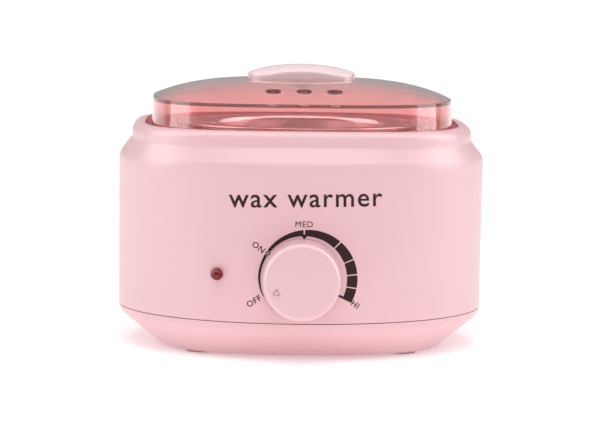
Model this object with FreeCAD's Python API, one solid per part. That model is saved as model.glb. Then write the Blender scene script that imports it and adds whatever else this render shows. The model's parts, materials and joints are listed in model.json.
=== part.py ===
import FreeCAD, Part
import math
import os

os.makedirs("parts", exist_ok=True)
V = FreeCAD.Vector
AXIS_Z = V(0, 0, 1)
AXIS_Y = V(0, 1, 0)

# Driving dimensions in millimetres. The sketch frame has the pot's axis on X = Y = 0, the dial side
# towards -Y and the floor at Z = 0. Everything is moved along Y on export, so that the origin of the
# finished part is at the centre of its footprint, knob and cord gland included.
wall_half = 92.5            # half the width of the casing wall
wall = 2.5                  # moulded wall
seam_z = 18.9               # joint between casing and base
seam_gap = 0.4
crease_z = 93.0             # the wall ends here and the shoulder starts
rim_half = 85.8
rim_top_z = 112.0
rim_round = 4.0
deck_z = 107.0              # recessed deck that the lid stands on
ledge_z = deck_z - wall     # the deck rests on this ledge of the casing
ledge_half = 75.0
recess_half = 79.0          # inside of the rim
collar_top_z = 109.4
collar_in, collar_out = 55.0, 60.0
seam_power, crease_power, rim_power = 2.1, 2.7, 3.3    # 2 is a circle, 4 is nearly a square
base_z = 1.0                # underside of the base, held off the floor by the feet
floor_z = 3.5               # inside of the base

lid_bottom_half, lid_crease_half = 76.5, 75.5
lid_wall = 1.7
lid_crease_z, lid_top_z = 124.8, 133.9
lid_dome_power = 3.5
vent_y, vent_pitch, vent_r = -57.5, 15.2, 3.8
handle_length, handle_width = 54.7, 26.0
handle_top_z = 141.3
handle_dome_x, handle_dome_y, handle_dome_z = 33.0, 18.2, 10.0    # half axes of its domed top

cup_in, cup_out = 52.3, 53.8
cup_bottom_z, cup_top_z = 36.5, 111.0
pot_flange_r, pot_top_z, pot_bottom_z = 62.0, 112.2, 39.2
pot_sheet = 1.2
bail_wire_r, bail_z, bail_bend = 1.2, 109.3, 2.5
bail_loop_r = 67.1

knob_x, knob_z = -1.2, 40.9
knob_base_r, knob_face_r, knob_reach = 19.6, 18.6, 17.0
pointer_angle = math.radians(-112)        # seen from the front, clockwise from the top
shaft_r, bush_r = 3.0, 4.95
pad_inner_y, pad_outer_y = 88.5, 91.3     # flat seats inside and outside the curved wall
lamp_x, lamp_z, lamp_r = -42.3, 42.4, 3.0
gland_z, gland_bore_r, gland_reach = 33.0, 3.5, 93.8

pillar_at = 50.0            # case screws, pillars and feet stand on this square
pillar_foot_z = 16.0
ring_points = 72

centre_y = (wall_half + knob_reach - gland_reach) / 2


def save(node, shape):
    placed = shape.copy()
    placed.translate(V(0, centre_y, 0))
    assert placed.isValid(), node
    placed.exportStep("parts/" + node + ".step")
    print(node, len(placed.Solids), round(placed.Volume / 1000, 2), "cm3")


def outline(half, power, z):
    """closed curve |x|^power + |y|^power = half^power at height z"""
    points = []
    for i in range(ring_points):
        angle = 2 * math.pi * i / ring_points
        c, s = math.cos(angle), math.sin(angle)
        reach = half / (abs(c) ** power + abs(s) ** power) ** (1 / power)
        points.append(V(reach * c, reach * s, z))
    curve = Part.BSplineCurve()
    curve.interpolate(points, PeriodicFlag=True)
    return Part.Wire(curve.toShape())


def loft(rings, ruled=True):
    return Part.makeLoft([outline(*ring) for ring in rings], True, ruled)


def joined(shapes):
    whole = shapes[0].multiFuse(shapes[1:])
    return whole.removeSplitter()


def rod(r, z0, z1, x=0, y=0):
    return Part.makeCylinder(r, z1 - z0, V(x, y, z0), AXIS_Z)


def ring(r_in, r_out, z0, z1):
    return rod(r_out, z0, z1).cut(rod(r_in, z0 - 1, z1 + 1))


def rod_y(r, y0, y1, x, z):
    return Part.makeCylinder(r, y1 - y0, V(x, y0, z), AXIS_Y)


def ring_y(r_in, r_out, y0, y1, x, z):
    return rod_y(r_out, y0, y1, x, z).cut(rod_y(r_in, y0 - 1, y1 + 1, x, z))


def block(x0, x1, y0, y1, z0, z1):
    return Part.makeBox(x1 - x0, y1 - y0, z1 - z0, V(x0, y0, z0))


def turned(shape, degrees):
    copy = shape.copy()
    copy.rotate(V(0, 0, 0), AXIS_Z, degrees)
    return copy


def hexagon_y(across_flats, y0, y1, x, z):
    corners = []
    for i in range(7):
        angle = math.radians(60 * i)
        reach = across_flats / math.sqrt(3)
        corners.append(V(x + reach * math.cos(angle), y0, z + reach * math.sin(angle)))
    return Part.Face(Part.makePolygon(corners)).extrude(V(0, y1 - y0, 0))


def arc(a, middle, b):
    return Part.Arc(a, middle, b).toShape()


def line(a, b):
    return Part.LineSegment(a, b).toShape()


def tube(points, r):
    """round bar along straight runs joined by tangent arcs"""
    edges, start = [], points[0]
    for before, corner, after in zip(points, points[1:], points[2:]):
        way_in, way_out = (corner - before), (after - corner)
        turn = way_in.getAngle(way_out)
        back = 0.45 * min(way_in.Length, way_out.Length)
        radius = back / math.tan(turn / 2)
        a = corner - way_in.normalize() * back
        b = corner + way_out.normalize() * back
        inward = ((a + b) * 0.5 - corner).normalize()
        middle = corner + inward * (radius / math.cos(turn / 2) - radius)
        edges += [line(start, a), arc(a, middle, b)]
        start = b
    edges.append(line(start, points[-1]))
    path = Part.Wire(edges)
    section = Part.Wire(Part.Circle(points[0], points[1] - points[0], r).toShape())
    return path.makePipeShell([section], True, False)


def spun(edges):
    return Part.Face(Part.Wire(edges)).revolve(V(0, 0, 0), AXIS_Z, 360)


def on_square(at):
    return [(at, at), (-at, at), (-at, -at), (at, -at)]


# casing ------------------------------------------------------------------------------------------

shoulder_rings = [
    (wall_half, crease_power, crease_z),
    (92.42, 2.71, 94.4),
    (92.15, 2.73, 95.8),
    (91.55, 2.77, 97.1),
    (86.35, 3.22, 103.8),
    (85.95, 3.27, 104.5),
    (rim_half, rim_power, 105.3),
]


def casing_outside():
    round_z = rim_top_z - rim_round
    lip = []
    for step in range(6):
        angle = math.radians(18 * step)
        lip.append((rim_half - rim_round * (1 - math.cos(angle)), rim_power,
                    round_z + rim_round * math.sin(angle)))
    return joined([
        loft([(wall_half, seam_power, seam_z + seam_gap / 2), shoulder_rings[0]]),
        loft(shoulder_rings),
        loft([shoulder_rings[-1], (rim_half, rim_power, round_z)]),
        loft(lip, ruled=False),
    ])


def upper_housing():
    outside = casing_outside()
    inside = loft([(wall_half - wall, seam_power, seam_z - 1), (wall_half - wall, crease_power, crease_z),
                   (87.0, 2.9, 99.0), (84.6, 3.1, ledge_z - wall)])
    recess = loft([(recess_half, rim_power, ledge_z), (recess_half + 0.6, rim_power, rim_top_z + 0.5)])
    well = loft([(ledge_half, rim_power, ledge_z - wall - 2), (ledge_half, rim_power, ledge_z + 1)])
    body = outside.cut(joined([inside, recess, well]))
    extras, holes = [], []
    extras.append(rod_y(12, -90.8, -pad_inner_y, knob_x, knob_z))
    extras.append(rod_y(9.5, pad_inner_y, 90.8, 0, gland_z))
    extras.append(rod_y(5.5, -88.0, -79.0, lamp_x, lamp_z).common(outside))
    holes.append(rod_y(5.0, -100, -80, knob_x, knob_z))
    holes.append(block(knob_x - 9, knob_x + 9, -100, -pad_outer_y, knob_z - 9, knob_z + 9))
    holes.append(rod_y(lamp_r + 0.05, -100, -70, lamp_x, lamp_z))
    holes.append(rod_y(5.5, 80, 100, 0, gland_z))
    holes.append(rod_y(9.5, pad_outer_y, 100, 0, gland_z))
    return joined([body] + extras).cut(joined(holes))


def top_deck():
    plate = loft([(recess_half - 0.1, rim_power, ledge_z), (recess_half - 0.1, rim_power, deck_z)])
    extras = [rod(collar_out, deck_z - 1, collar_top_z)]
    holes = [rod(collar_in, 90, 120)]
    for x, y in on_square(pillar_at):
        extras.append(rod(4.5, pillar_foot_z, deck_z - 1, x, y))
        holes.append(rod(1.6, pillar_foot_z - 1, 30, x, y))
    for x, y in ((64, 0), (0, 64), (-64, 0), (0, -64)):
        extras.append(rod(4.0, 100.5, deck_z - 1, x, y))
        holes.append(rod(1.5, 100, 105.5, x, y))
    return joined([plate] + extras).cut(joined(holes))


def base_shell():
    top = seam_z - seam_gap / 2
    round_rings = [(92.4, seam_power, top), (92.1, seam_power, 17.2), (91.1, 2.12, 15.4), (88.9, 2.15, 13.4)]
    outside = joined([
        loft(round_rings, ruled=False),
        loft([round_rings[-1], (73.2, 2.58, 1.9), (72.3, 2.6, base_z)]),
        loft([(89.7, seam_power, 17.0), (89.7, seam_power, 21.5)]),
    ])
    inside = loft([(71.0, 2.58, floor_z), (84.4, 2.15, 12.8), (88.0, seam_power, 16.0),
                   (88.0, seam_power, 22.0)])
    extras, holes = [], []
    for x, y in on_square(pillar_at):
        extras.append(rod(6.0, base_z + 1, pillar_foot_z - 0.2, x, y))
        holes.append(rod(2.2, 0, 20, x, y))
        holes.append(rod(3.7, 0, 12.5, x, y))
        holes.append(rod(7.2, 0, 2.5, x, y))
    for x in (-11, 11):
        extras.append(rod(4.0, base_z + 1, 20.0, x, 66))
        holes.append(rod(1.4, 8, 21, x, 66))
    extras.append(block(15, 37, 37, 51, base_z + 1, 5.5))
    holes.append(rod(1.4, 2.2, 6, 26, 44))
    for i in range(-3, 4):
        slot = joined([block(8 * i - 1.5, 8 * i + 1.5, -23, 23, 0, 4),
                       rod(1.5, 0, 4, 8 * i, -23), rod(1.5, 0, 4, 8 * i, 23)])
        holes.append(slot)
    return joined([outside.cut(inside)] + extras).cut(joined(holes))


def feet():
    return Part.makeCompound([rod(7.0, 0, 2.5, x, y).fuse(rod(3.5, 2.5, 6.0, x, y)).removeSplitter()
                              for x, y in on_square(pillar_at)])


def case_screws():
    screws = []
    for x, y in on_square(pillar_at):
        shank = rod(1.55, 12.5, 29.0, x, y)
        screws.append(rod(3.5, 10.0, 12.5, x, y).fuse(shank).removeSplitter())
    return Part.makeCompound(screws)


def cord_gland():
    body = joined([ring_y(gland_bore_r, 5.45, pad_inner_y, pad_outer_y, 0, gland_z),
                   ring_y(gland_bore_r, 9.0, pad_outer_y, gland_reach, 0, gland_z),
                   ring_y(gland_bore_r, 8.0, pad_inner_y - 2, pad_inner_y, 0, gland_z)])
    return body


def cord_clamp():
    bar = block(-16, 16, 62, 70, 20.0, 23.0).fuse(rod_y(6.0, 62, 70, 0, 20.0))
    bar = bar.cut(rod_y(3.4, 60, 72, 0, 20.0)).cut(block(-16, 16, 60, 72, 10, 20.0))
    for x in (-11, 11):
        bar = bar.cut(rod(1.6, 19, 24, x, 66))
    return bar.removeSplitter()


def clamp_screws():
    return Part.makeCompound([rod(2.7, 23.0, 24.8, x, 66).fuse(rod(1.35, 9, 23.0, x, 66)).removeSplitter()
                              for x in (-11, 11)])


# heating well ------------------------------------------------------------------------------------

def heater_cup():
    shell = rod(cup_out, cup_bottom_z, cup_top_z)
    shell = shell.makeFillet(6.0, [e for e in shell.Edges if e.BoundBox.ZMax < cup_bottom_z + 0.1])
    bore = rod(cup_in, cup_bottom_z + 1.5, cup_top_z + 1)
    bore = bore.makeFillet(4.5, [e for e in bore.Edges if e.BoundBox.ZMax < cup_bottom_z + 1.6])
    flange = rod(60.5, cup_top_z - 1, cup_top_z)
    stud = rod(2.0, 26.0, cup_bottom_z + 0.5)
    bevel = Part.makeCone(cup_in, cup_in + 1.2, 1.2, V(0, 0, cup_top_z - 1.2), AXIS_Z)
    return joined([shell, flange, stud]).cut(bore).cut(bevel)


def cup_seal():
    return ring(cup_out + 0.1, 59.8, collar_top_z, cup_top_z - 1)


def cup_brackets():
    brackets = []
    for degrees in (0, 90, 180, 270):
        plate = ring(cup_out, cup_out + 1, 90, 100.5).common(block(50, 56, -5, 5, 90, 101))
        shelf = block(54.0, 68.5, -5, 5, 99.5, 100.5).cut(rod(cup_out + 0.5, 90, 110))
        bracket = plate.fuse(shelf).removeSplitter().cut(rod(1.6, 99, 101, 64, 0))
        brackets.append(turned(bracket, degrees))
    return Part.makeCompound(brackets)


def bracket_screws():
    screw = rod(2.8, 97.7, 99.5, 64, 0).fuse(rod(1.45, 99.5, 105.0, 64, 0)).removeSplitter()
    return Part.makeCompound([turned(screw, degrees) for degrees in (0, 90, 180, 270)])


def band_sector(r_in, r_out, z0, z1, gap_degrees):
    """upright ring with a gap centred on +X"""
    face = Part.makePlane(r_out - r_in, z1 - z0, V(r_in, 0, z0), V(0, -1, 0), V(1, 0, 0))
    face.rotate(V(0, 0, 0), AXIS_Z, gap_degrees / 2)
    return face.revolve(V(0, 0, 0), AXIS_Z, 360 - gap_degrees)


def heater_band():
    parts = [band_sector(cup_out + 0.05, 55.3, 50, 82, 13)]
    for side in (-9, 9):
        parts.append(turned(block(54.8, 60.0, -0.4, 0.4, 51.5, 58.5), side))
    return joined(parts)


def band_strap():
    loop = band_sector(55.35, 55.95, 60, 72, 5.8)
    ears = []
    for y in (-3.5, 2.5):
        ears.append(block(55.5, 66, y, y + 1, 60, 72))
    return joined([loop] + ears).cut(rod_y(1.6, -5, 5, 61, 66))


def strap_bolt():
    return rod_y(2.8, -5.6, -3.5, 61, 66).fuse(rod_y(1.5, -3.5, 7.5, 61, 66)).removeSplitter()


def strap_nut():
    return hexagon_y(5.5, 3.5, 5.9, 61, 66).cut(rod_y(1.52, 3, 7, 61, 66))


fuse_x, fuse_z = -16.0, 34.2


def thermal_fuse():
    return rod_y(2.0, -6.5, 6.5, fuse_x, fuse_z)


def fuse_clip():
    plate = block(-13.2, 6, -5, 5, cup_bottom_z - 1, cup_bottom_z)
    saddle = ring_y(2.1, 2.9, -4, 4, fuse_x, fuse_z).common(block(-20, -12, -5, 5, 30, fuse_z))
    saddle = saddle.fuse(block(fuse_x + 2.1, fuse_x + 2.9, -4, 4, fuse_z, cup_bottom_z))
    saddle = saddle.fuse(block(fuse_x - 2.9, fuse_x - 2.1, -4, 4, fuse_z, cup_bottom_z))
    return plate.fuse(saddle).removeSplitter().cut(rod(2.1, 30, 40))


def earth_lug():
    tongue = block(0, 14, -2, 2, 34.7, cup_bottom_z - 1).cut(rod(2.1, 30, 40))
    return ring(2.1, 4.5, 34.7, cup_bottom_z - 1).fuse(tongue).removeSplitter()


def stud_nut():
    corners = [V(4.04 * math.cos(math.radians(60 * i)), 4.04 * math.sin(math.radians(60 * i)), 31.5)
               for i in range(7)]
    return Part.Face(Part.makePolygon(corners)).extrude(V(0, 0, 3.2)).cut(rod(2.03, 30, 36))


# thermostat, lamp, terminals and leads -----------------------------------------------------------

body_back_y, tab_end_y = -72.5, -65.5
tab_offset = 8.0
bulb_angle, bulb_r, bulb_length, bulb_z = math.radians(-60), 2.2, 26.0, 44.0
bulb_out = cup_out + bulb_r + 0.3


def thermostat_body():
    case = block(knob_x - 15, knob_x + 15, -pad_inner_y, body_back_y, knob_z - 11, knob_z + 11)
    case = case.makeFillet(2.0, [e for e in case.Edges if abs(e.BoundBox.YLength - 16) < 0.1])
    case = case.cut(rod_y(3.2, -pad_inner_y - 1, -78.5, knob_x, knob_z))
    return case


def thermostat_tabs():
    tabs = []
    for side in (-1, 1):
        x = knob_x + side * tab_offset
        tabs.append(block(x - 3.15, x + 3.15, body_back_y, tab_end_y, knob_z - 0.4, knob_z + 0.4))
    return Part.makeCompound(tabs)


def thermostat_bush():
    return ring_y(shaft_r + 0.06, bush_r, -95.0, -pad_inner_y, knob_x, knob_z)


def thermostat_nut():
    return hexagon_y(13.0, -93.8, -pad_outer_y, knob_x, knob_z).cut(
        rod_y(bush_r + 0.02, -100, -80, knob_x, knob_z))


def bulb_frame():
    centre = V(bulb_out * math.cos(bulb_angle), bulb_out * math.sin(bulb_angle), bulb_z)
    along = V(-math.sin(bulb_angle), math.cos(bulb_angle), 0)
    return centre, along


def sensor_bulb():
    centre, along = bulb_frame()
    return Part.makeCylinder(bulb_r, bulb_length, centre - along * (bulb_length / 2), along)


def bulb_clip():
    centre, along = bulb_frame()
    start = centre - along * 4
    outer = Part.makeCylinder(bulb_r + 0.7, 8, start, along)
    inner = Part.makeCylinder(bulb_r + 0.05, 8, start, along)
    return outer.cut(inner).cut(rod(cup_out, 30, 60))


def capillary():
    centre, along = bulb_frame()
    start = centre - along * (bulb_length / 2)
    return tube([start, start - along * 9, V(5, -65, 35), V(4, -71, 24), V(7, -81, 20),
                 V(7, -81, 29.8)], 0.8)


def shaft_profile(r, y0, y1, flat_from):
    """round bar along Y with one flat near its front end"""
    bar = rod_y(r, y0, y1, knob_x, knob_z)
    flat = block(knob_x - 5, knob_x + 5, y0 - 1, flat_from, knob_z + r - 1.5, knob_z + r + 1)
    return bar.cut(flat)


def thermostat_shaft():
    return shaft_profile(shaft_r, -105.6, -79.0, -95.8)


def knob_point(r, forward):
    return V(knob_x + r, -wall_half - forward, knob_z)


def control_knob():
    face_edge = knob_face_r - 2.6
    top = knob_reach - 0.8
    corner = 1 / math.sqrt(2)
    edges = [
        line(knob_point(0, 13.6), knob_point(0, knob_reach)),
        arc(knob_point(0, knob_reach), knob_point(face_edge / 2, knob_reach - 0.22), knob_point(face_edge, top)),
        arc(knob_point(face_edge, top),
            knob_point(face_edge + 2.8 * corner, top - 3.2 * (1 - corner)),
            knob_point(knob_face_r + 0.2, top - 3.2)),
        line(knob_point(knob_face_r + 0.2, top - 3.2), knob_point(knob_base_r, 0.9)),
        line(knob_point(knob_base_r, 0.9), knob_point(knob_base_r - 2, 0.9)),
        line(knob_point(knob_base_r - 2, 0.9), knob_point(knob_face_r - 2, 12.0)),
        line(knob_point(knob_face_r - 2, 12.0), knob_point(knob_face_r - 4, 13.6)),
        line(knob_point(knob_face_r - 4, 13.6), knob_point(5.5, 14.2)),
        line(knob_point(5.5, 14.2), knob_point(5.5, 3.3)),
        line(knob_point(5.5, 3.3), knob_point(0, 3.3)),
        line(knob_point(0, 3.3), knob_point(0, 13.6)),
    ]
    body = Part.Face(Part.Wire(edges)).revolve(V(knob_x, 0, knob_z), AXIS_Y, 360)
    body = body.cut(shaft_profile(shaft_r + 0.03, -106.0, -90.0, -95.8))
    return body.fuse(pointer_mark()).removeSplitter()


def pointer_mark():
    """low triangle on the knob's face that points at the scale"""
    out = V(math.sin(pointer_angle), 0, math.cos(pointer_angle))
    side = V(-out.z, 0, out.x)
    centre = V(knob_x, -wall_half - knob_reach + 2.0, knob_z)
    tip, back = centre + out * 15.6, centre + out * 11.8
    corners = [tip, back + side * 1.7, back - side * 1.7, tip]
    prism = Part.Face(Part.makePolygon(corners)).extrude(V(0, -1.85, 0))
    return prism


def knob_clip():
    return ring_y(5.55, 6.0, -101.0, -98.0, knob_x, knob_z)


def indicator_lens():
    x, z = lamp_x, lamp_z
    dome = Part.makeSphere(lamp_r, V(x, -86.8, z))
    dome = dome.common(block(x - 5, x + 5, -95, -86.8, z - 5, z + 5))
    body = joined([dome, rod_y(lamp_r, -86.8, -79.0, x, z), rod_y(4.2, -79.0, -77.5, x, z)])
    return body.cut(rod_y(2.0, -86.0, -70, x, z))


def indicator_neon():
    glass = rod_y(1.7, -85.0, -73.5, lamp_x, lamp_z)
    return glass.makeFillet(1.2, [e for e in glass.Edges if e.BoundBox.YMax < -84.9])


def lamp_holder():
    return ring_y(1.75, 4.2, -77.5, -74.0, lamp_x, lamp_z)


def terminal_block():
    body = block(9, 43, 36, 52, 5.5, 19.5)
    for x in (14.5, 26, 37.5):
        body = body.cut(rod_y(1.6, 35, 53, x, 12.5))
        body = body.cut(rod(1.7, 12.5, 20, x, 40))
    return body.cut(rod(1.6, 5, 20, 20.2, 47)).cut(rod(1.6, 5, 20, 31.8, 47))


def terminal_screws():
    return Part.makeCompound([rod(1.6, 14.4, 18.6, x, 40) for x in (14.5, 26, 37.5)])


lead_routes = {
    "lead_supply": [V(14.5, 44, 12.5), V(14.5, 26, 12.5), V(7, 4, 9), V(-4, -22, 9), V(-8, -46, 14),
                    V(-9.2, -58, 28), V(-9.2, -59, 42.5), V(-9.2, -65.3, 42.5)],
    "lead_heater": [V(6.8, -65.3, 42.5), V(6.8, -61.5, 43.5), V(10, -62, 50), V(24, -61, 50),
                    V(43.5, -43.5, 50), V(61, -24, 52), V(66, -11, 54), V(60.5, -9.5, 55)],
    "lead_fuse": [V(37.5, 44, 12.5), V(37.5, 29, 12.5), V(20, 20, 21), V(-4, 22, 29), V(-16, 15, fuse_z),
                  V(-16, 6.6, fuse_z)],
    "lead_return": [V(-16, -6.6, fuse_z), V(-16, -15, fuse_z), V(2, -28, 26), V(32, -34, 24), V(58, -18, 30),
                    V(66, 2, 42), V(66, 10, 52), V(60.5, 9.5, 55)],
    "lead_lamp": [V(lamp_x, -73.3, lamp_z), V(lamp_x, -69, lamp_z), V(-57, -58, 30), V(-70, -40, 18),
                  V(-66, -14, 10), V(-50, 16, 9), V(-24, 40, 11), V(-8, 44, 12.5), V(8.8, 44, 12.5)],
}


# pot, bail and lid -------------------------------------------------------------------------------

def wax_pot():
    lip = 2.8
    wall_top = pot_top_z - lip
    floor = pot_bottom_z + pot_sheet
    c = math.sqrt(0.5)
    out_r, in_r = 51.2, 50.0
    foot_r, toe = 48.2, 5.0
    heel = foot_r + 0.2

    def p(r, z):
        return V(r, 0, z)

    edges = [
        line(p(0, pot_bottom_z), p(heel - toe, pot_bottom_z)),
        arc(p(heel - toe, pot_bottom_z), p(heel - toe + toe * c, pot_bottom_z + toe * (1 - c)),
            p(heel, pot_bottom_z + toe)),
        line(p(heel, pot_bottom_z + toe), p(out_r, wall_top)),
        arc(p(out_r, wall_top), p(out_r + 1.6 * (1 - c), wall_top + 1.6 * c), p(out_r + 1.6, wall_top + 1.6)),
        line(p(out_r + 1.6, wall_top + 1.6), p(pot_flange_r, wall_top + 1.6)),
        arc(p(pot_flange_r, wall_top + 1.6), p(pot_flange_r + 0.6, pot_top_z - 0.6), p(pot_flange_r, pot_top_z)),
        line(p(pot_flange_r, pot_top_z), p(in_r + lip, pot_top_z)),
        arc(p(in_r + lip, pot_top_z), p(in_r + lip * (1 - c), wall_top + lip * c), p(in_r, wall_top)),
        line(p(in_r, wall_top), p(heel - pot_sheet, floor + toe - 1)),
        arc(p(heel - pot_sheet, floor + toe - 1), p(heel - pot_sheet - 4 + 4 * c, floor + 4 * (1 - c)),
            p(heel - pot_sheet - 4, floor)),
        line(p(heel - pot_sheet - 4, floor), p(0, floor)),
        line(p(0, floor), p(0, pot_bottom_z)),
    ]
    return spun(edges)


def pot_lugs():
    tab = block(54.5, 64.4, -3.5, 3.5, pot_top_z, pot_top_z + 1)
    ear = block(63.2, 64.4, -3.5, 3.5, 107.6, pot_top_z + 0.5)
    hole = Part.makeCylinder(bail_wire_r + 0.05, 8, V(60, 0, bail_z), V(1, 0, 0))
    lug = tab.fuse(ear).removeSplitter().cut(hole)
    return Part.makeCompound([lug, turned(lug, 180)])


def bail_handle():
    y0 = -bail_bend
    r = bail_loop_r
    c = bail_bend * (1 - math.sqrt(0.5))

    def p(x, y):
        return V(x, y, bail_z)

    edges = [
        line(p(61.6, 0), p(r - bail_bend, 0)),
        arc(p(r - bail_bend, 0), p(r - c, -c), p(r, y0)),
        arc(p(r, y0), p(0, y0 - r), p(-r, y0)),
        arc(p(-r, y0), p(-r + c, -c), p(bail_bend - r, 0)),
        line(p(bail_bend - r, 0), p(-61.6, 0)),
    ]
    section = Part.Wire(Part.Circle(p(61.6, 0), V(1, 0, 0), bail_wire_r).toShape())
    return Part.Wire(edges).makePipeShell([section], True, False)


dome_steps = (75.5, 73.0, 69.0, 63.0, 55.0, 45.0, 33.0, 20.0, 10.0)


def dome_height(reach, half, low, top):
    return top - (top - low) * (reach / half) ** lid_dome_power


def dome_rings(inset, drop):
    half = lid_crease_half - inset
    rings = []
    for step in dome_steps:
        reach = step * half / lid_crease_half
        rings.append((reach, rim_power, dome_height(reach, half, lid_crease_z, lid_top_z) - drop))
    return rings


def lid_outside():
    dome = dome_rings(0, 0)
    return joined([loft([(lid_bottom_half, rim_power, deck_z), dome[0]]), loft(dome, ruled=False)])


def lid_shell():
    dome = dome_rings(lid_wall, lid_wall + 0.1)
    hollow = joined([loft([(lid_bottom_half - lid_wall, rim_power, deck_z - 1), dome[0]]),
                     loft(dome, ruled=False)])
    holes = [rod(1.6, 120, 140)]
    for i in (-1, 0, 1):
        holes.append(rod(vent_r, 120, 140, i * vent_pitch, vent_y))
    return lid_outside().cut(hollow).cut(joined(holes))


retainer_top_z = dome_rings(lid_wall, lid_wall + 0.1)[-1][2]
retainer_z = retainer_top_z - 2.8


def lid_handle():
    half_run = (handle_length - handle_width) / 2
    r = handle_width / 2
    plan = joined([block(-half_run, half_run, -r, r, 130, 145),
                   rod(r, 130, 145, -half_run), rod(r, 130, 145, half_run)])
    swell = FreeCAD.Matrix()
    swell.scale(handle_dome_x, handle_dome_y, handle_dome_z)
    dome = Part.makeSphere(1.0).transformGeometry(swell)
    dome.translate(V(0, 0, handle_top_z - handle_dome_z))
    grip = plan.common(dome)
    grip = grip.makeFillet(1.8, [e for e in grip.Edges if e.BoundBox.ZMin > 132])
    return grip.cut(lid_outside()).cut(rod(1.5, 125, 138.5))


def handle_retainer():
    cone = Part.makeCone(6.1, 7.6, 2.8, V(0, 0, retainer_z), AXIS_Z)
    return cone.cut(rod(1.6, 120, 140))


def handle_screw():
    return rod(2.8, retainer_z - 1.8, retainer_z).fuse(rod(1.45, retainer_z, 138.0)).removeSplitter()


for node, make in (
        ("upper_housing", upper_housing), ("top_deck", top_deck), ("base_shell", base_shell),
        ("rubber_feet", feet),
        ("case_screws", case_screws), ("cord_gland", cord_gland), ("cord_clamp", cord_clamp),
        ("clamp_screws", clamp_screws), ("heater_cup", heater_cup), ("cup_seal", cup_seal),
        ("cup_brackets", cup_brackets), ("bracket_screws", bracket_screws), ("heater_band", heater_band),
        ("band_strap", band_strap), ("strap_bolt", strap_bolt), ("strap_nut", strap_nut),
        ("thermal_fuse", thermal_fuse), ("fuse_clip", fuse_clip), ("earth_lug", earth_lug),
        ("stud_nut", stud_nut), ("thermostat_body", thermostat_body), ("thermostat_tabs", thermostat_tabs),
        ("thermostat_bush", thermostat_bush), ("thermostat_nut", thermostat_nut),
        ("sensor_bulb", sensor_bulb), ("bulb_clip", bulb_clip), ("capillary_tube", capillary),
        ("thermostat_shaft", thermostat_shaft), ("control_knob", control_knob), ("knob_clip", knob_clip),
        ("indicator_lens", indicator_lens), ("indicator_neon", indicator_neon), ("lamp_holder", lamp_holder),
        ("terminal_block", terminal_block), ("terminal_screws", terminal_screws),
        ("wax_pot", wax_pot), ("pot_lugs", pot_lugs), ("bail_handle", bail_handle),
        ("lid_shell", lid_shell), ("lid_handle", lid_handle), ("handle_retainer", handle_retainer),
        ("handle_screw", handle_screw)):
    save(node, make())
for node, route in lead_routes.items():
    save(node, tube(route, 1.0))
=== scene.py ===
import json
import math

import bpy
from mathutils import Matrix, Vector


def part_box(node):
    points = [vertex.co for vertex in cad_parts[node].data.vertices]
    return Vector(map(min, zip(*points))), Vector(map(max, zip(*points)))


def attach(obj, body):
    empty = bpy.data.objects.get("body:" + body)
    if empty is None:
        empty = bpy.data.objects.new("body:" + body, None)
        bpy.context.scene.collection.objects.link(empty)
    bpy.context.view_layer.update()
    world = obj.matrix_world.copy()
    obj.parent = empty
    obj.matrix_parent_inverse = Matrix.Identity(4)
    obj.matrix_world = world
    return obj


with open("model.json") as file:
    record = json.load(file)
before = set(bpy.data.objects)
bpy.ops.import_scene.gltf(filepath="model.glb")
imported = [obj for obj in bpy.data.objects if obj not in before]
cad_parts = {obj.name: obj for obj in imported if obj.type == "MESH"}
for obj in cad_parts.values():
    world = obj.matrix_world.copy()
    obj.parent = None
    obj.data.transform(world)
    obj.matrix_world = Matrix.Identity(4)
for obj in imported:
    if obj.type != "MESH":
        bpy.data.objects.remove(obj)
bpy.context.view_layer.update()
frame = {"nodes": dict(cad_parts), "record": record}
nodes = frame["nodes"]
potLow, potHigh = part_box("wax_pot")
potAxisY = (potLow.y + potHigh.y) / 2
knobLow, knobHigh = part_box("control_knob")
knobX, knobZ = (knobLow.x + knobHigh.x) / 2, (knobLow.z + knobHigh.z) / 2
print("frame loaded with", len(nodes), "nodes, pot axis at y", round(potAxisY, 5))


# node helpers

def addNode(tree, kind, inputs=None, **settings):
    node = tree.nodes.new(kind)
    for key, value in settings.items():
        setattr(node, key, value)
    for key, value in (inputs or {}).items():
        if isinstance(value, bpy.types.NodeSocket):
            tree.links.new(value, node.inputs[key])
        else:
            node.inputs[key].default_value = value
    return node


def makeGroup(name, inputs, outputs):
    group = bpy.data.node_groups.new(name, "ShaderNodeTree")
    for label, kind, value in inputs:
        socket = group.interface.new_socket(name=label, in_out="INPUT", socket_type="NodeSocket" + kind)
        if value is not None:
            socket.default_value = value
    for label, kind in outputs:
        group.interface.new_socket(name=label, in_out="OUTPUT", socket_type="NodeSocket" + kind)
    start = group.nodes.new("NodeGroupInput")
    end = group.nodes.new("NodeGroupOutput")
    return group, start.outputs, end.inputs


def placeGroup(tree, group, vector, look):    # takes from the look what the group has a socket for
    node = addNode(tree, "ShaderNodeGroup", {"Vector": vector}, node_tree=group)
    for key, value in look.items():
        if key in node.inputs:
            node.inputs[key].default_value = value
    return node.outputs


def maths(tree, operation, a, b=0.0):
    return addNode(tree, "ShaderNodeMath", {0: a, 1: b}, operation=operation).outputs[0]


def around(tree, value, strength):    # turns 0..1 into plus or minus half the strength
    return maths(tree, "MULTIPLY", maths(tree, "SUBTRACT", value, 0.5), strength)


def mixColour(tree, factor, a, b):
    return addNode(tree, "ShaderNodeMix", {0: factor, 6: a, 7: b}, data_type="RGBA").outputs[2]


def ramped(tree, value, low, high):   # 0 below low, 1 above high
    return addNode(tree, "ShaderNodeMapRange", {0: value, 1: low, 2: high}).outputs[0]


def noiseAt(tree, vector, scale, detail=3.0):
    inputs = {"Vector": vector, "Scale": scale, "Detail": detail}
    return addNode(tree, "ShaderNodeTexNoise", inputs).outputs[0]


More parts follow.
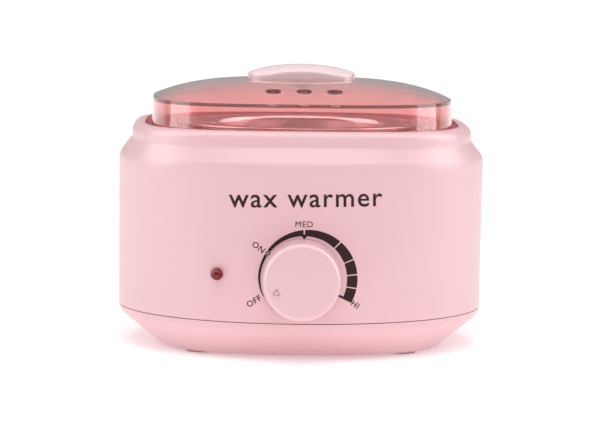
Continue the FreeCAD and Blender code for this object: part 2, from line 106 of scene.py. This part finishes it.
def stretched(tree, vector, scale):
    return addNode(tree, "ShaderNodeMapping", {"Vector": vector, "Scale": scale}).outputs[0]


def tinted(tree, colour, tone):       # colour times tone
    return addNode(tree, "ShaderNodeVectorMath", {0: colour, 3: tone}, operation="SCALE").outputs[0]


# effects that several finishes share; scales are per metre

skinEffect = {
    "cloudScale": 22.0, "cloudRough": 0.14, "speckScale": 900.0, "speckTone": 0.03, "grainRough": 0.10,
    "rubStretch": (900, 60, 60), "rubFrom": 0.62, "rubTo": 0.8, "rubRough": 0.08,
}
turnedEffect = {"sideScale": 25.0, "cloudScale": 45.0, "cloudTone": 0.08, "cloudRough": 0.12, "ringRough": 0.16}
handlingEffect = {
    "stretchA": (2400, 90, 140), "fromA": 0.70, "toA": 0.76,
    "stretchB": (130, 2100, 90), "fromB": 0.71, "toB": 0.77,
    "patchScale": 60.0, "patchFrom": 0.5, "patchTo": 0.62,
    "smearScale": 110.0, "smearFrom": 0.48, "smearTo": 0.75,
}


def buildMouldedSkin():
    group, given, result = makeGroup(
        "mouldedSkin",
        [("Vector", "Vector", None), ("Colour", "Color", (0.8, 0.5, 0.5, 1)), ("Tone", "Float", 0.05),
         ("Roughness", "Float", 0.35), ("Grain", "Float", 2600.0)],
        [("Colour", "Color"), ("Roughness", "Float"), ("Height", "Float")])
    effect = skinEffect
    cloud = noiseAt(group, given["Vector"], effect["cloudScale"], 4.0)
    speck = noiseAt(group, given["Vector"], effect["speckScale"], 2.0)
    grain = noiseAt(group, given["Vector"], given["Grain"], 2.0)
    rub = noiseAt(group, stretched(group, given["Vector"], effect["rubStretch"]), 1.0, 2.0)
    rubbed = ramped(group, rub, effect["rubFrom"], effect["rubTo"])
    tone = maths(group, "ADD", 1.0, around(group, cloud, given["Tone"]))
    tone = maths(group, "ADD", tone, around(group, speck, effect["speckTone"]))
    group.links.new(tinted(group, given["Colour"], tone), result["Colour"])
    change = maths(group, "ADD", around(group, cloud, effect["cloudRough"]),
                   around(group, grain, effect["grainRough"]))
    change = maths(group, "ADD", change, maths(group, "MULTIPLY", rubbed, effect["rubRough"]))
    group.links.new(maths(group, "ADD", given["Roughness"], change), result["Roughness"])
    group.links.new(grain, result["Height"])
    return group


def buildTurnedMetal():
    group, given, result = makeGroup(
        "turnedMetal",
        [("Vector", "Vector", None), ("Colour", "Color", (0.8, 0.8, 0.8, 1)), ("Pitch", "Float", 2200.0),
         ("Roughness", "Float", 0.25), ("Contrast", "Float", 0.1)],
        [("Colour", "Color"), ("Roughness", "Float"), ("Height", "Float")])
    effect = turnedEffect
    split = addNode(group, "ShaderNodeSeparateXYZ", {0: given["Vector"]}).outputs
    flat = addNode(group, "ShaderNodeCombineXYZ", {0: split[0], 1: split[1]}).outputs[0]
    reach = addNode(group, "ShaderNodeVectorMath", {0: flat}, operation="LENGTH").outputs["Value"]
    across = maths(group, "ADD", reach, split[2])
    lathe = addNode(group, "ShaderNodeCombineXYZ", {
        0: maths(group, "MULTIPLY", across, given["Pitch"]),
        1: maths(group, "MULTIPLY", split[0], effect["sideScale"]),
        2: maths(group, "MULTIPLY", split[1], effect["sideScale"])}).outputs[0]
    rings = noiseAt(group, lathe, 1.0, 3.0)
    cloud = noiseAt(group, given["Vector"], effect["cloudScale"], 4.0)
    tone = maths(group, "ADD", 1.0, around(group, rings, given["Contrast"]))
    tone = maths(group, "ADD", tone, around(group, cloud, effect["cloudTone"]))
    group.links.new(tinted(group, given["Colour"], tone), result["Colour"])
    change = maths(group, "ADD", around(group, rings, effect["ringRough"]),
                   around(group, cloud, effect["cloudRough"]))
    group.links.new(maths(group, "ADD", given["Roughness"], change), result["Roughness"])
    group.links.new(rings, result["Height"])
    return group


def buildHandling():    # fine scratches two ways, in patches, and smears
    group, given, result = makeGroup(
        "handling", [("Vector", "Vector", None), ("Amount", "Float", 0.5)],
        [("Scratch", "Float"), ("Smudge", "Float")])
    effect = handlingEffect
    fineA = noiseAt(group, stretched(group, given["Vector"], effect["stretchA"]), 1.0, 2.0)
    fineB = noiseAt(group, stretched(group, given["Vector"], effect["stretchB"]), 1.0, 2.0)
    patch = noiseAt(group, given["Vector"], effect["patchScale"], 2.0)
    lines = maths(group, "MAXIMUM", ramped(group, fineA, effect["fromA"], effect["toA"]),
                  ramped(group, fineB, effect["fromB"], effect["toB"]))
    lines = maths(group, "MULTIPLY", lines, ramped(group, patch, effect["patchFrom"], effect["patchTo"]))
    group.links.new(maths(group, "MULTIPLY", lines, given["Amount"]), result["Scratch"])
    smear = noiseAt(group, given["Vector"], effect["smearScale"], 5.0)
    smear = ramped(group, smear, effect["smearFrom"], effect["smearTo"])
    group.links.new(maths(group, "MULTIPLY", smear, given["Amount"]), result["Smudge"])
    return group


mouldedSkin = buildMouldedSkin()
turnedMetal = buildTurnedMetal()
handling = buildHandling()


# how far handling changes each kind of finish, and how deep its bump is in metres

skinWear = {"scratchRough": 0.2, "smudgeRough": 0.12, "scratchDepth": 0.6, "bumpDistance": 0.00004}
metalWear = {"scratchRough": 0.25, "smudgeRough": 0.15, "smudgeColour": 0.25, "bumpDistance": 0.00003}
clearWear = {"scratchRough": 0.12, "smudgeRough": 0.05, "bump": 0.03, "bumpDistance": 0.0003,
             "cloudScale": 26.0, "cloudTone": 0.06, "flowScale": 70.0, "lightBend": 1.49}


def startMaterial(name, **plain):
    material = bpy.data.materials.new(name)
    material.use_nodes = True
    tree = material.node_tree
    shader = tree.nodes["Principled BSDF"]
    for key, value in plain.items():
        shader.inputs[key.replace("_", " ")].default_value = value
    place = addNode(tree, "ShaderNodeTexCoord").outputs["Object"]
    return material, tree, shader, place


def addBump(tree, shader, height, strength, distance):
    bump = addNode(tree, "ShaderNodeBump", {"Height": height, "Strength": strength, "Distance": distance})
    tree.links.new(bump.outputs[0], shader.inputs["Normal"])


def addWear(tree, shader, marks, roughness, wear):
    rough = maths(tree, "ADD", roughness, maths(tree, "MULTIPLY", marks["Scratch"], wear["scratchRough"]))
    rough = maths(tree, "ADD", rough, maths(tree, "MULTIPLY", marks["Smudge"], wear["smudgeRough"]))
    tree.links.new(rough, shader.inputs["Roughness"])


def skinMaterial(name, look):
    material, tree, shader, place = startMaterial(name, **look.get("plain", {}))
    skin = placeGroup(tree, mouldedSkin, place, look)
    marks = placeGroup(tree, handling, place, {"Amount": look.get("marks", 0.3)})
    addWear(tree, shader, marks, skin["Roughness"], skinWear)
    tree.links.new(skin["Colour"], shader.inputs["Base Color"])
    scratches = maths(tree, "MULTIPLY", marks["Scratch"], skinWear["scratchDepth"])
    addBump(tree, shader, maths(tree, "SUBTRACT", skin["Height"], scratches), look["bump"],
            skinWear["bumpDistance"])
    return material


def metalMaterial(name, look):
    material, tree, shader, place = startMaterial(name, Metallic=1.0)
    centred = addNode(tree, "ShaderNodeMapping", {
        "Vector": place, "Location": look.get("centre", (0, 0, 0)), "Rotation": look.get("turn", (0, 0, 0))})
    lathe = placeGroup(tree, turnedMetal, centred.outputs[0], look)
    marks = placeGroup(tree, handling, place, {"Amount": 0.5})
    addWear(tree, shader, marks, lathe["Roughness"], metalWear)
    dulled = look.get("dulled", (0.45, 0.43, 0.42, 1))
    smudged = maths(tree, "MULTIPLY", marks["Smudge"], metalWear["smudgeColour"])
    tree.links.new(mixColour(tree, smudged, lathe["Colour"], dulled), shader.inputs["Base Color"])
    addBump(tree, shader, maths(tree, "SUBTRACT", lathe["Height"], marks["Scratch"]), look.get("bump", 0.08),
            metalWear["bumpDistance"])
    return material


def clearMaterial(name, look):
    wear = clearWear
    material, tree, shader, place = startMaterial(name, Transmission_Weight=look["through"],
                                                  IOR=wear["lightBend"], **look.get("plain", {}))
    cloud = noiseAt(tree, place, wear["cloudScale"])
    tone = maths(tree, "ADD", 1.0, around(tree, cloud, wear["cloudTone"]))
    tree.links.new(tinted(tree, look["Colour"][:3], tone), shader.inputs["Base Color"])
    marks = placeGroup(tree, handling, place, {"Amount": look["marks"]})
    addWear(tree, shader, marks, look["Roughness"], wear)
    flow = noiseAt(tree, place, wear["flowScale"], 2.0)
    addBump(tree, shader, flow, wear["bump"], wear["bumpDistance"])
    return material


# finishes, one entry for each slot of the record

potCentre = (0, -potAxisY, 0)
frontCentre = (-knobX, 0, -knobZ)
plasticLooks = {
    "casing_plastic": {
        "Colour": (0.855, 0.540, 0.575, 1), "Tone": 0.03, "Roughness": 0.36, "Grain": 2400.0,
        "bump": 0.10, "marks": 0.25, "plain": {"Coat_Weight": 0.12, "Coat_Roughness": 0.22}},
    "knob_plastic": {
        "Colour": (0.855, 0.545, 0.580, 1), "Tone": 0.03, "Roughness": 0.30, "Grain": 3000.0,
        "bump": 0.06, "marks": 0.4, "plain": {"Coat_Weight": 0.2, "Coat_Roughness": 0.18}},
    "handle_plastic": {
        "Colour": (0.960, 0.740, 0.765, 1), "Tone": 0.03, "Roughness": 0.26, "Grain": 3000.0,
        "bump": 0.05, "marks": 0.4, "plain": {"Coat_Weight": 0.3, "Coat_Roughness": 0.15}},
    "rubber": {
        "Colour": (0.52, 0.31, 0.33, 1), "Tone": 0.2, "Roughness": 0.72, "Grain": 1400.0,
        "bump": 0.4, "marks": 0.6},
    "gland_rubber": {
        "Colour": (0.020, 0.020, 0.022, 1), "Tone": 0.3, "Roughness": 0.62, "Grain": 1500.0,
        "bump": 0.35, "marks": 0.6},
    "seal_silicone": {
        "Colour": (0.40, 0.045, 0.035, 1), "Tone": 0.15, "Roughness": 0.55, "Grain": 1200.0, "bump": 0.3},
    "terminal_white": {
        "Colour": (0.76, 0.73, 0.68, 1), "Tone": 0.1, "Roughness": 0.5, "Grain": 1800.0, "bump": 0.3},
    "dark_plastic": {
        "Colour": (0.030, 0.018, 0.015, 1), "Tone": 0.3, "Roughness": 0.45, "Grain": 1100.0, "bump": 0.35},
    "heater_mica": {
        "Colour": (0.30, 0.27, 0.22, 1), "Tone": 0.35, "Roughness": 0.5, "Grain": 500.0,
        "bump": 0.5, "plain": {"Metallic": 0.3}},
    "lead_red": {
        "Colour": (0.45, 0.03, 0.025, 1), "Tone": 0.12, "Roughness": 0.45, "Grain": 1600.0, "bump": 0.2},
    "lead_white": {
        "Colour": (0.70, 0.68, 0.63, 1), "Tone": 0.12, "Roughness": 0.6, "Grain": 1400.0, "bump": 0.4},
}
metalLooks = {
    "aluminium": {
        "Colour": (0.82, 0.82, 0.83, 1), "Pitch": 2300.0, "Roughness": 0.22, "Contrast": 0.16,
        "centre": potCentre, "bump": 0.10},
    "steel": {"Colour": (0.56, 0.56, 0.57, 1), "Pitch": 3000.0, "Roughness": 0.33, "Contrast": 0.2},
    "bail_wire": {"Colour": (0.66, 0.66, 0.68, 1), "Pitch": 3500.0, "Roughness": 0.16, "Contrast": 0.1},
    "brass": {
        "Colour": (0.70, 0.50, 0.22, 1), "Pitch": 2600.0, "Roughness": 0.32, "Contrast": 0.2,
        "centre": frontCentre, "turn": (math.radians(90), 0, 0), "dulled": (0.30, 0.17, 0.07, 1)},
}
clearLooks = {
    "tinted_lid": {"Colour": (1.0, 0.60, 0.59, 1), "through": 0.92, "Roughness": 0.0, "marks": 0.1},
    # lamp_red carries painted glow: the lamp is unlit, and its faint red emission stands in for light coming
    # through the lens
    "lamp_red": {
        "Colour": (0.34, 0.004, 0.008, 1), "through": 0.6, "Roughness": 0.04, "marks": 0.1,
        "plain": {"Emission_Color": (0.8, 0.01, 0.02, 1), "Emission_Strength": 0.03}},
    "lamp_glass": {"Colour": (0.95, 0.85, 0.72, 1), "through": 1.0, "Roughness": 0.03, "marks": 0.2},
}
finishes = {}
for slot, look in plasticLooks.items():
    finishes[slot] = skinMaterial(slot, look)
for slot, look in metalLooks.items():
    finishes[slot] = metalMaterial(slot, look)
for slot, look in clearLooks.items():
    finishes[slot] = clearMaterial(slot, look)
for part in frame["record"]["subparts"]:
    for slotHolder in nodes[part["node"]].material_slots:
        slotHolder.material = finishes[part["material_slot"]]


# finishes of the printed marks and of the painted shade on the knob

printInk = skinMaterial("printInk", {
    "Colour": (0.030, 0.008, 0.011, 1), "Tone": 0.3, "Roughness": 0.5, "Grain": 2600.0,
    "bump": 0.1, "marks": 0.4, "plain": {"Specular_IOR_Level": 0.25}})
# painted shade: a darker pink standing in for the shade along the edge of the knob's raised pointer triangle
pointerEdgeShade = skinMaterial("pointerEdgeShade", {
    "Colour": (0.50, 0.24, 0.29, 1), "Tone": 0.1, "Roughness": 0.4, "Grain": 3000.0, "bump": 0.05})


def clearSelection():
    if bpy.context.object and bpy.context.object.mode != "OBJECT":
        bpy.ops.object.mode_set(mode="OBJECT")
    bpy.ops.object.select_all(action="DESELECT")


def selectOnly(piece):
    clearSelection()
    piece.select_set(True)
    bpy.context.view_layer.objects.active = piece


def thicken(piece, thickness, offset):    # gives a flat sheet the thickness of a film
    film = piece.modifiers.new("film", "SOLIDIFY")
    film.thickness = thickness
    film.offset = offset
    selectOnly(piece)
    bpy.ops.object.modifier_apply(modifier="film")
    bpy.ops.object.transform_apply(location=True, rotation=True, scale=True)


def faceForward(piece):    # a flat sheet's normals point out of the wall
    selectOnly(piece)
    bpy.ops.object.mode_set(mode="EDIT")
    bpy.ops.mesh.select_all(action="DESELECT")
    bpy.ops.object.mode_set(mode="OBJECT")
    for polygon in piece.data.polygons:
        polygon.select = polygon.normal.y > 0
    bpy.ops.object.mode_set(mode="EDIT")
    bpy.ops.mesh.flip_normals()
    bpy.ops.object.mode_set(mode="OBJECT")


# marks on the front wall are drawn flat in front of it and then laid onto it

printing = {"drawnAt": -0.14, "castFrom": -0.2, "proud": 0.00004, "ink": 0.00005}


def printOnWall(piece):
    faceForward(piece)
    wall = nodes["upper_housing"]
    for vertex in piece.data.vertices:
        start = Vector((vertex.co.x, printing["castFrom"], vertex.co.z))
        place = wall.ray_cast(start, Vector((0, 1, 0)))[1]
        vertex.co.y = place.y - printing["proud"]
    thicken(piece, printing["ink"], 1.0)
    piece.data.materials.clear()
    piece.data.materials.append(printInk)
    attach(piece, "casing")


# the dial's scale; angles run clockwise from straight up, and the scale widens from OFF

dial = {
    "x": 0.0, "innerR": 0.0211, "outerR": 0.0242, "outerShift": 0.0020,
    "bands": [(-114, -57.6), (-51.4, -0.9), (0.9, 43.2), (44.8, 67.3), (68.7, 84.2), (85.6, 99.3),
              (100.7, 113.2)],
    "stepAngle": 1.5, "thinAt": -114, "thinnest": 0.3, "fullAfter": 35,
    "hookFrom": 113.2, "hookTo": 116.4, "hookR": 0.0188,
    "arrowAngle": 3.2, "arrowTipR": 0.0195, "arrowSlope": 0.00045, "arrowTopR": 0.0219,
    "onAngle": -54.5, "onR": 0.0216, "onInner": 0.00055, "onOuter": 0.00105, "onSides": 28,
}


def onDial(reach, degrees):
    angle = math.radians(degrees)
    return (dial["x"] + reach * math.sin(angle), printing["drawnAt"], knobZ + reach * math.cos(angle))


def steady(radius):
    return lambda degrees: radius


def outerEdge(degrees):    # a circle whose middle is a little to the right of the knob's
    angle = math.radians(degrees)
    shift, outer = dial["outerShift"], dial["outerR"]
    reach = shift * math.sin(angle) + math.sqrt(outer ** 2 - (shift * math.cos(angle)) ** 2)
    width = min(1.0, dial["thinnest"] + (degrees - dial["thinAt"]) / dial["fullAfter"])
    return dial["innerR"] + (reach - dial["innerR"]) * width


def arrowEdge(degrees):
    return dial["arrowTipR"] + dial["arrowSlope"] * abs(degrees)


def scaleBand(name, fromAngle, toAngle, innerAt, outerAt):
    steps = max(2, round(abs(toAngle - fromAngle) / dial["stepAngle"]))
    clearSelection()
    bpy.ops.mesh.primitive_grid_add(x_subdivisions=steps, y_subdivisions=2, size=1, location=(0, 0, 0))
    piece = bpy.context.object
    piece.name = name
    for vertex in piece.data.vertices:
        along, across = vertex.co.x + 0.5, vertex.co.y + 0.5
        degrees = fromAngle + (toAngle - fromAngle) * along
        reach = innerAt(degrees) + (outerAt(degrees) - innerAt(degrees)) * across
        vertex.co = onDial(reach, degrees)
    return piece


def onMarker():    # the small ring between two bands at ON
    clearSelection()
    bpy.ops.mesh.primitive_circle_add(
        vertices=dial["onSides"], radius=dial["onInner"], location=onDial(dial["onR"], dial["onAngle"]),
        rotation=(math.radians(90), 0, 0))
    ring = bpy.context.object
    bpy.ops.object.mode_set(mode="EDIT")
    bpy.ops.mesh.select_all(action="SELECT")
    bpy.ops.mesh.extrude_edges_move()
    bpy.ops.transform.resize(value=(dial["onOuter"] / dial["onInner"],) * 3)
    bpy.ops.mesh.select_all(action="SELECT")
    bpy.ops.mesh.normals_make_consistent(inside=False)
    bpy.ops.object.mode_set(mode="OBJECT")
    bpy.ops.object.transform_apply(location=True, rotation=True, scale=True)
    return ring


def joinPieces(pieces, name):
    selectOnly(pieces[0])
    for piece in pieces:
        piece.select_set(True)
    bpy.ops.object.join()
    pieces[0].name = name
    return pieces[0]


def makeDial():
    pieces = [scaleBand("band", low, high, steady(dial["innerR"]), outerEdge) for low, high in dial["bands"]]
    pieces.append(scaleBand("hook", dial["hookFrom"], dial["hookTo"], steady(dial["hookR"]), outerEdge))
    pieces.append(scaleBand("arrow", -dial["arrowAngle"], dial["arrowAngle"], arrowEdge,
                            steady(dial["arrowTopR"])))
    pieces.append(onMarker())
    return joinPieces(pieces, "dial_scale")


# each word's text, its place from the knob's middle, its turn in degrees and its capitals' height

words = {
    "wordOff": ("OFF", -0.0240, -0.0113, 33, 0.0029),
    "wordOn": ("ON", -0.0222, 0.0152, -37, 0.0029),
    "wordMed": ("MED", -0.0002, 0.0267, 0, 0.0029),
    "wordHi": ("HI", 0.0252, -0.0125, -35, 0.0029),
    "wordTitle": ("wax warmer", 0.0005, 0.0392, 1, 0.0092),
}
lettering = {"capShare": 0.70, "bolder": 0.008, "spacing": 1.12, "curveSteps": 4}


def makeWord(name, text, x, z, degrees, capHeight):
    clearSelection()
    bpy.ops.object.text_add(location=(0, 0, 0))
    word = bpy.context.object
    word.name = name
    word.data.body = text
    word.data.align_x = "CENTER"
    word.data.align_y = "CENTER"
    word.data.offset = 0.0 if "M" in text else lettering["bolder"]    # a bolder M would fold over itself
    word.data.space_character = lettering["spacing"]
    word.data.resolution_u = lettering["curveSteps"]
    bpy.ops.object.convert(target="MESH")
    word = bpy.context.object
    word.matrix_world = (Matrix.Translation((dial["x"] + x, printing["drawnAt"], knobZ + z))
                         @ Matrix.Rotation(math.radians(-degrees), 4, "Y")
                         @ Matrix.Rotation(math.radians(90), 4, "X")
                         @ Matrix.Scale(capHeight / lettering["capShare"], 4))
    bpy.ops.object.transform_apply(location=True, rotation=True, scale=True)
    return word


pointer = {"angle": -112, "reach": 0.01325, "radius": 0.0022, "rim": 0.00045, "depth": 0.00009, "film": 0.00008}


# painted shade: this dark outline stands in for the shade along the edge of the knob's raised pointer triangle
def makePointerShade():    # darker outline on the raised triangle of the knob
    angle = math.radians(pointer["angle"])
    x = knobX + pointer["reach"] * math.sin(angle)
    z = knobZ + pointer["reach"] * math.cos(angle)
    clearSelection()
    bpy.ops.mesh.primitive_circle_add(vertices=3, radius=pointer["radius"], fill_type="NGON")
    mark = bpy.context.object
    mark.name = "knob_pointer_shade"
    bpy.ops.object.mode_set(mode="EDIT")
    bpy.ops.mesh.select_all(action="SELECT")
    bpy.ops.mesh.inset(thickness=pointer["rim"], depth=0)
    bpy.ops.mesh.delete(type="FACE")
    bpy.ops.object.mode_set(mode="OBJECT")
    mark.matrix_world = (Matrix.Translation((x, knobLow.y + pointer["depth"], z))
                         @ Matrix.Rotation(angle, 4, "Y") @ Matrix.Rotation(math.radians(90), 4, "X"))
    thicken(mark, pointer["film"], 0)
    mark.data.materials.append(pointerEdgeShade)
    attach(mark, "knob")


makePointerShade()
printOnWall(makeDial())
for wordName, settings in words.items():
    printOnWall(makeWord(wordName, *settings))
print("dial and lettering printed")


# floor, light and camera

studio = {
    "floorSize": 40.0, "floorZ": -0.0002, "floorGlow": 0.26, "floorRough": 0.65,
    "floorColour": (0.93, 0.93, 0.93), "floorCloud": 0.6, "floorTone": 0.01,
    "worldColour": (1.0, 0.99, 0.985, 1), "world": 0.42, "sun": 1.5, "sunTilt": 12, "sunSpread": 60,
    "boxes": [    # name, place, size and power
        ("leftBox", (-1.30, -0.35, 0.80), (0.9, 1.6), 2.2),
        ("rightBox", (1.30, -0.35, 0.80), (0.9, 1.6), 2.5),
        ("topBox", (0.0, -0.1, 1.9), (1.8, 1.5), 3.0),
        ("leftCard", (-1.30, 0.0, 0.80), (1.2, 1.7), 20.0),
        ("rightCard", (1.30, 0.0, 0.80), (1.2, 1.7), 23.0),
    ],
    "target": (0.0, potAxisY, 0.07),
}
camera = {"sensor": 36.0, "lens": 193.74, "distance": 1.650, "height": 0.217,
          "yaw": 1.39, "pitch": 5.229, "roll": 0.7, "farEnd": 100.0}


def makeFloor():
    clearSelection()
    bpy.ops.mesh.primitive_plane_add(size=studio["floorSize"], location=(0, 0, studio["floorZ"]))
    floor = bpy.context.object
    floor.name = "floor"
    material, tree, shader, place = startMaterial(
        "paleFloor", Roughness=studio["floorRough"], Emission_Color=(1, 1, 1, 1),
        Emission_Strength=studio["floorGlow"])
    cloud = noiseAt(tree, place, studio["floorCloud"])
    tone = maths(tree, "ADD", 1.0, around(tree, cloud, studio["floorTone"]))
    tree.links.new(tinted(tree, studio["floorColour"], tone), shader.inputs["Base Color"])
    floor.data.materials.append(material)


def makeLights():
    world = bpy.data.worlds.new("studio")
    world.use_nodes = True
    background = world.node_tree.nodes["Background"]
    background.inputs["Color"].default_value = studio["worldColour"]
    background.inputs["Strength"].default_value = studio["world"]
    bpy.context.scene.world = world
    for name, place, (wide, tall), power in studio["boxes"]:
        bpy.ops.object.light_add(type="AREA", location=place)
        light = bpy.context.object
        light.name = name
        light.data.shape = "RECTANGLE"
        light.data.size = wide
        light.data.size_y = tall
        light.data.energy = power
        aim = Vector(studio["target"]) - Vector(place)
        light.rotation_euler = aim.to_track_quat("-Z", "Y").to_euler()
        light.visible_diffuse = not name.endswith("Card")    # the cards only show in glossy surfaces
    bpy.ops.object.light_add(type="SUN", location=(0, 0, 3), rotation=(math.radians(studio["sunTilt"]), 0, 0))
    bpy.context.object.data.energy = studio["sun"]
    bpy.context.object.data.angle = math.radians(studio["sunSpread"])


def makeCamera():
    yaw = math.radians(camera["yaw"])
    place = Vector((-camera["distance"] * math.sin(yaw),
                    potAxisY - camera["distance"] * math.cos(yaw), camera["height"]))
    bpy.ops.object.camera_add(location=place)
    eye = bpy.context.object
    eye.name = "eye"
    eye.matrix_world = (Matrix.Translation(place) @ Matrix.Rotation(-yaw, 4, "Z")
                        @ Matrix.Rotation(math.radians(90 - camera["pitch"]), 4, "X")
                        @ Matrix.Rotation(math.radians(camera["roll"]), 4, "Z"))
    eye.data.sensor_width = camera["sensor"]
    eye.data.lens = camera["lens"]
    eye.data.clip_end = camera["farEnd"]
    bpy.context.scene.camera = eye


makeFloor()
makeLights()
makeCamera()
bpy.context.scene.view_settings.view_transform = "Standard"
print("studio ready")
